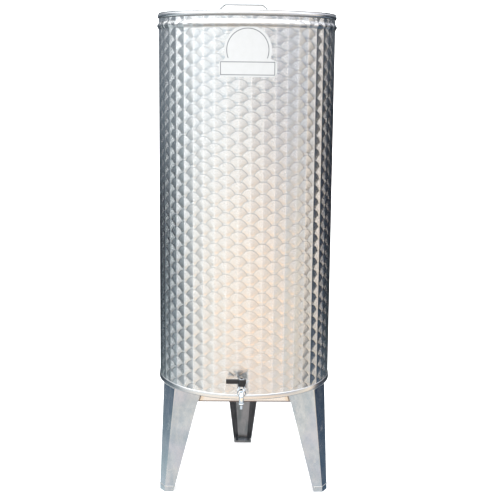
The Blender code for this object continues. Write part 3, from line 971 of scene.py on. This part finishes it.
def makeWelds():
    d = welding
    beads = []
    for turn in (0, 120, 240):
        for side in (-1, 1):
            run = []
            for z in (d["barFoot"], d["barTop"]):
                reach = d["edge"] - (z - legSheet["top"]) * d["lean"]
                x = (reach - bars["face"] / 2) / cos(radians(30))
                run.append((side * x, axisY - bars["face"] - d["ahead"], z))
            beads.append(turnedTo(weld(run, d["bead"], d["step"]), turn))
    settled(joinedUp(beads), "barWelds", "weld", smooth=60)

    half, far = legSheet["webTop"]
    half -= d["hemInset"]
    run = [(x, axisY + far + d["ahead"], d["hemAt"]) for x in (-half, half)]
    beads = [turnedTo(weld(run, d["hemBead"], d["hemStep"]), azimuth - 90) for azimuth in legs.values()]
    settled(joinedUp(beads), "hemWelds", "weld", smooth=60)

    # planished seam: a flat strip that follows the sheet, bead and all, with a point every 2 cm below that
    line = [(drumRadius, d["seamFoot"])]
    line += [(drumRadius, z / 100) for z in range(33, 127, 2)]
    line += [beadPoint(1 - i / d["seamSteps"]) for i in range(d["seamSteps"] + 1)]
    line.append((drumRadius, drum["top"]))
    points = [(0, axisY + r, z) for r, z in line]
    seam = rodAlong(points, [d["seamHigh"]] * len(points), 3)
    only(seam)
    bpy.ops.object.mode_set(mode="EDIT")
    bpy.ops.mesh.select_all(action="SELECT")
    wider = d["seamWide"] / 2 / d["seamHigh"]
    bpy.ops.transform.resize(value=(wider, 1, 1), center_override=(0, axisY, 0))
    bpy.ops.object.mode_set(mode="OBJECT")
    settled(seam, "backSeam", "weld", smooth=60)


def makeSticker():
    d = sticker
    # half of the outline, from the top of the disc round to the middle of the band's foot
    high = d["bandAt"] + d["bandHigh"] / 2
    low = d["bandAt"] - d["bandHigh"] / 2
    half = d["band"] / 2
    meet = sqrt(d["disc"] ** 2 - (high - d["discAt"]) ** 2)
    turn = degrees(atan2(high - d["discAt"], meet))
    outline = arc((0, d["discAt"]), d["disc"], 90, turn + d["short"], 30)
    outline += arc((half - d["corner"], high - d["corner"]), d["corner"], 90, 0, 8)
    outline += arc((half - d["corner"], low + d["corner"]), d["corner"], 0, -90, 8)
    outline += [(-x, z) for x, z in reversed(outline)]
    cleared()
    bpy.ops.mesh.primitive_circle_add(vertices=len(outline), radius=0.1, fill_type="NGON")
    obj = bpy.context.object
    for vertex, (x, z) in zip(obj.data.vertices, outline):
        vertex.co = (x, axisY - d["ahead"], z)
    bpy.ops.object.mode_set(mode="EDIT")
    for i in range(1, d["strips"]):
        bpy.ops.mesh.select_all(action="SELECT")
        bpy.ops.mesh.bisect(plane_co=(d["band"] * (i / d["strips"] - 0.5), 0, 0), plane_no=(1, 0, 0))
    bpy.ops.mesh.select_all(action="SELECT")
    bpy.ops.mesh.normals_make_consistent(inside=False)
    bpy.ops.object.mode_set(mode="OBJECT")
    # wrapped round the drum by its own width
    for vertex in obj.data.vertices:
        angle = (vertex.co.x + d["off"]) / drumRadius
        vertex.co.x = drumRadius * sin(angle)
        vertex.co.y = axisY - drumRadius * cos(angle) - d["lift"]
    body = obj.modifiers.new("body", "SOLIDIFY")
    body.thickness = d["thick"]
    body.offset = 1 if obj.data.polygons[0].normal.y < 0 else -1
    bpy.ops.object.modifier_apply(modifier="body")
    settled(obj, "sticker", "sticker_vinyl", smooth=40)


makeShell()
makeEnds()
print("drum made")
makeLid()
print("lid made")
makeLegs()
print("legs made")
makeTap()
print("tap made")
makeWelds()
print("welds made")
makeSticker()
print("sticker made")


# studio

studio = {
    # light round the drum in bands: each band's height in a unit sphere, then direction in degrees,
    # 0 towards the camera and positive to the right, and the light's colour
    "bands": [
        (-0.85, [(-180, (0.12, 0.11, 0.10)), (-110, (0.14, 0.13, 0.12)), (-70, (0.42, 0.39, 0.34)),
                 (70, (0.42, 0.39, 0.34)), (110, (0.14, 0.13, 0.12)), (180, (0.12, 0.11, 0.10))]),
        (-0.52, [(-180, (0.14, 0.16, 0.17)), (-120, (0.70, 0.79, 0.83)), (-60, (0.74, 0.78, 0.82)),
                 (0, (0.74, 0.77, 0.80)), (60, (0.74, 0.78, 0.84)), (96, (0.50, 0.52, 0.56)),
                 (120, (0.085, 0.14, 0.21)), (180, (0.14, 0.16, 0.17))]),
        (-0.325, [(-180, (0.16, 0.19, 0.20)), (-136, (0.20, 0.25, 0.27)), (-122, (0.90, 1.00, 1.02)),
                  (-96, (0.60, 0.66, 0.70)), (-60, (0.76, 0.80, 0.82)), (0, (0.80, 0.80, 0.80)),
                  (60, (0.76, 0.80, 0.84)), (96, (0.50, 0.52, 0.56)), (120, (0.075, 0.13, 0.20)),
                  (136, (0.18, 0.22, 0.26)), (180, (0.16, 0.19, 0.20))]),
        (-0.305, [(-180, (0.14, 0.17, 0.18)), (-136, (0.18, 0.23, 0.25)), (-122, (0.80, 0.90, 0.92)),
                  (-96, (0.40, 0.44, 0.46)), (-80, (0.60, 0.62, 0.62)), (-62, (1.10, 1.04, 0.95)),
                  (-20, (1.36, 1.13, 0.92)), (30, (1.34, 1.08, 0.85)), (52, (1.10, 0.92, 0.78)),
                  (78, (0.92, 0.84, 0.72)), (96, (0.90, 0.80, 0.66)), (104, (0.06, 0.08, 0.12)),
                  (120, (0.075, 0.13, 0.19)), (136, (0.18, 0.22, 0.26)), (180, (0.14, 0.17, 0.18))]),
        (-0.27, [(-180, (0.05, 0.06, 0.07)), (-136, (0.06, 0.08, 0.10)), (-122, (0.20, 0.27, 0.34)),
                 (-110, (0.08, 0.10, 0.12)), (-95, (0.34, 0.36, 0.38)), (-86, (0.56, 0.55, 0.55)),
                 (-62, (1.18, 1.06, 0.90)), (-20, (1.48, 1.14, 0.84)), (30, (1.48, 1.08, 0.75)),
                 (52, (1.24, 0.96, 0.70)), (64, (0.96, 0.84, 0.68)), (84, (0.98, 0.86, 0.68)),
                 (100, (1.00, 0.90, 0.74)), (107, (0.34, 0.32, 0.31)), (112, (0.03, 0.05, 0.07)),
                 (120, (0.06, 0.10, 0.16)), (136, (0.04, 0.05, 0.06)), (180, (0.04, 0.05, 0.06))]),
        (-0.22, [(-180, (0.02, 0.03, 0.04)), (-136, (0.04, 0.05, 0.06)), (-122, (0.14, 0.20, 0.26)),
                 (-113, (0.06, 0.08, 0.10)), (-95, (0.36, 0.40, 0.42)), (-86, (0.62, 0.62, 0.61)),
                 (-62, (1.14, 1.06, 0.92)), (-20, (1.42, 1.14, 0.86)), (30, (1.42, 1.06, 0.76)),
                 (52, (1.22, 0.97, 0.71)), (64, (1.04, 0.91, 0.74)), (84, (1.06, 0.95, 0.77)),
                 (101, (1.22, 1.05, 0.86)), (107, (0.36, 0.34, 0.32)), (112, (0.02, 0.02, 0.04)),
                 (120, (0.04, 0.06, 0.10)), (134, (0.03, 0.03, 0.04)), (180, (0.02, 0.03, 0.03))]),
        (-0.15, [(-180, (0.02, 0.02, 0.03)), (-130, (0.03, 0.03, 0.04)), (-113, (0.06, 0.09, 0.10)),
                 (-95, (0.40, 0.48, 0.50)), (-86, (0.68, 0.68, 0.68)), (-62, (1.12, 1.06, 0.95)),
                 (-20, (1.33, 1.14, 0.91)), (20, (1.31, 1.05, 0.79)), (50, (1.10, 0.91, 0.72)),
                 (64, (0.88, 0.80, 0.72)), (84, (1.04, 0.95, 0.81)), (101, (1.54, 1.30, 1.06)),
                 (107, (0.42, 0.39, 0.37)), (112, (0.02, 0.02, 0.03)), (180, (0.02, 0.02, 0.03))]),
        (-0.02, [(-180, (0.12, 0.15, 0.18)), (-140, (0.20, 0.24, 0.28)), (-115, (0.18, 0.22, 0.26)),
                 (-97, (0.48, 0.57, 0.61)), (-86, (0.76, 0.80, 0.83)), (-76, (0.86, 0.94, 0.98)),
                 (-50, (0.80, 0.92, 1.02)), (-12, (0.76, 0.86, 0.94)), (14, (0.56, 0.61, 0.66)),
                 (34, (0.42, 0.46, 0.54)), (62, (0.38, 0.44, 0.58)), (82, (0.52, 0.54, 0.57)),
                 (101, (1.02, 0.91, 0.78)), (107, (0.32, 0.31, 0.31)), (112, (0.03, 0.03, 0.04)),
                 (180, (0.03, 0.04, 0.05))]),
        (0.11, [(-180, (0.28, 0.31, 0.34)), (-120, (0.34, 0.38, 0.42)), (-100, (0.78, 0.84, 0.88)),
                (-82, (2.00, 2.06, 2.10)), (-60, (1.10, 1.18, 1.22)), (-36, (0.60, 0.67, 0.71)),
                (20, (0.52, 0.56, 0.60)), (70, (0.48, 0.51, 0.56)), (100, (1.12, 1.05, 0.96)),
                (108, (0.24, 0.27, 0.29)), (115, (0.09, 0.11, 0.14)), (180, (0.28, 0.31, 0.34))]),
        (0.28, [(-180, (0.16, 0.18, 0.20)), (-140, (0.20, 0.22, 0.24)), (-108, (0.20, 0.22, 0.24)),
                (-96, (0.50, 0.52, 0.54)), (-80, (2.60, 2.60, 2.60)), (-60, (2.10, 2.14, 2.16)),
                (0, (1.44, 1.52, 1.58)), (60, (1.00, 1.04, 1.12)), (92, (1.70, 1.70, 1.70)),
                (104, (0.30, 0.32, 0.34)), (116, (0.10, 0.11, 0.14)), (180, (0.16, 0.18, 0.20))]),
        (0.44, [(-180, (1.30, 1.34, 1.38)), (-116, (1.30, 1.34, 1.36)), (-98, (1.60, 1.62, 1.64)),
                (-80, (2.60, 2.60, 2.60)), (-50, (2.30, 2.34, 2.36)), (50, (1.70, 1.74, 1.80)),
                (84, (1.60, 1.60, 1.64)), (100, (0.90, 0.88, 0.96)), (130, (0.90, 0.90, 0.98)),
                (180, (1.30, 1.34, 1.38))]),
        (0.74, [(-180, (1.30, 1.34, 1.38)), (-100, (1.60, 1.62, 1.64)), (-50, (2.30, 2.34, 2.36)),
                (50, (2.20, 2.24, 2.26)), (100, (1.30, 1.32, 1.36)), (180, (1.30, 1.34, 1.38))]),
        (0.95, [(-180, (1.60, 1.62, 1.64)), (180, (1.60, 1.62, 1.64))]),
    ],
    "peak": 2.6,                    # the brightest of them
    "backdrop": (1, 1, 1, 1),       # what the camera itself sees
    "floor": 14,
    "paint": (0.80, 0.80, 0.80, 1),
    "glow": 0.55,
}


def makeStudio():
    world = bpy.data.worlds.new("studio")
    bpy.context.scene.world = world
    s = Finish(world)
    x, y, z = s.parts(s.node("TexCoord", out=0))
    turn = s.maths("ARCTAN2", x, 0 - y) / (2 * pi) + 0.5
    peak = studio["peak"]
    light, below = None, None
    for height, colours in studio["bands"]:
        band = s.ramp(turn, [((a + 180) / 360, tuple(c / peak for c in colour)) for a, colour in colours])
        if light:
            rise = s.node("MapRange", None, {"Value": z, "From Min": below, "From Max": height})
            band = s.mix(rise, light, band)
        light, below = band, height
    light = s.mix(s.node("LightPath", out=0), light, studio["backdrop"])
    s.show(Color=light, Strength=peak)
    bpy.ops.mesh.primitive_grid_add(
        x_subdivisions=8, y_subdivisions=8, size=studio["floor"], location=(0, 0, 0)
    )
    floor = bpy.context.object
    floor.name = "floor"
    paint = Finish(bpy.data.materials.new("paleFloor"), {
        "Roughness": 0.9, "Emission Color": (1, 1, 1, 1), "Emission Strength": studio["glow"],
    })
    floor.data.materials.append(paint.show(Base_Color=studio["paint"]))
    floor.visible_glossy = False


# camera, fitted to the photograph's outlines, with angles in radians
viewing = {
    "distance": 2.8316,             # in front of the drum's axis
    "height": 1.1507,
    "pitch": 0.1711,                # downwards
    "yaw": 0.0049,
    "roll": 0.0097,
    "round": radians(-0.6),         # how far it is swung round the drum
    "sensor": 36,
    "focal": 1016.5,                # in pixels
    "picture": 500,                 # width in pixels
}


def makeCamera():
    v = viewing
    pitch, yaw, roll = v["pitch"], v["yaw"], v["roll"]
    ahead = Vector((sin(yaw) * cos(pitch), cos(yaw) * cos(pitch), -sin(pitch)))
    right = Vector((cos(yaw), -sin(yaw), 0))
    up = right.cross(ahead)
    across = cos(roll) * right + sin(roll) * up
    upwards = cos(roll) * up - sin(roll) * right
    look = Matrix((across, upwards, -ahead)).transposed().to_4x4()
    look.translation = (0, -v["distance"], v["height"])
    data = bpy.data.cameras.new("camera")
    data.sensor_width = v["sensor"]
    data.lens = v["focal"] / v["picture"] * v["sensor"]
    camera = bpy.data.objects.new("camera", data)
    bpy.context.scene.collection.objects.link(camera)
    camera.matrix_world = Matrix.Translation((0, axisY, 0)) @ Matrix.Rotation(v["round"], 4, "Z") @ look
    bpy.context.scene.camera = camera


makeStudio()
makeCamera()
bpy.context.scene.view_settings.view_transform = "Standard"
print("studio made")
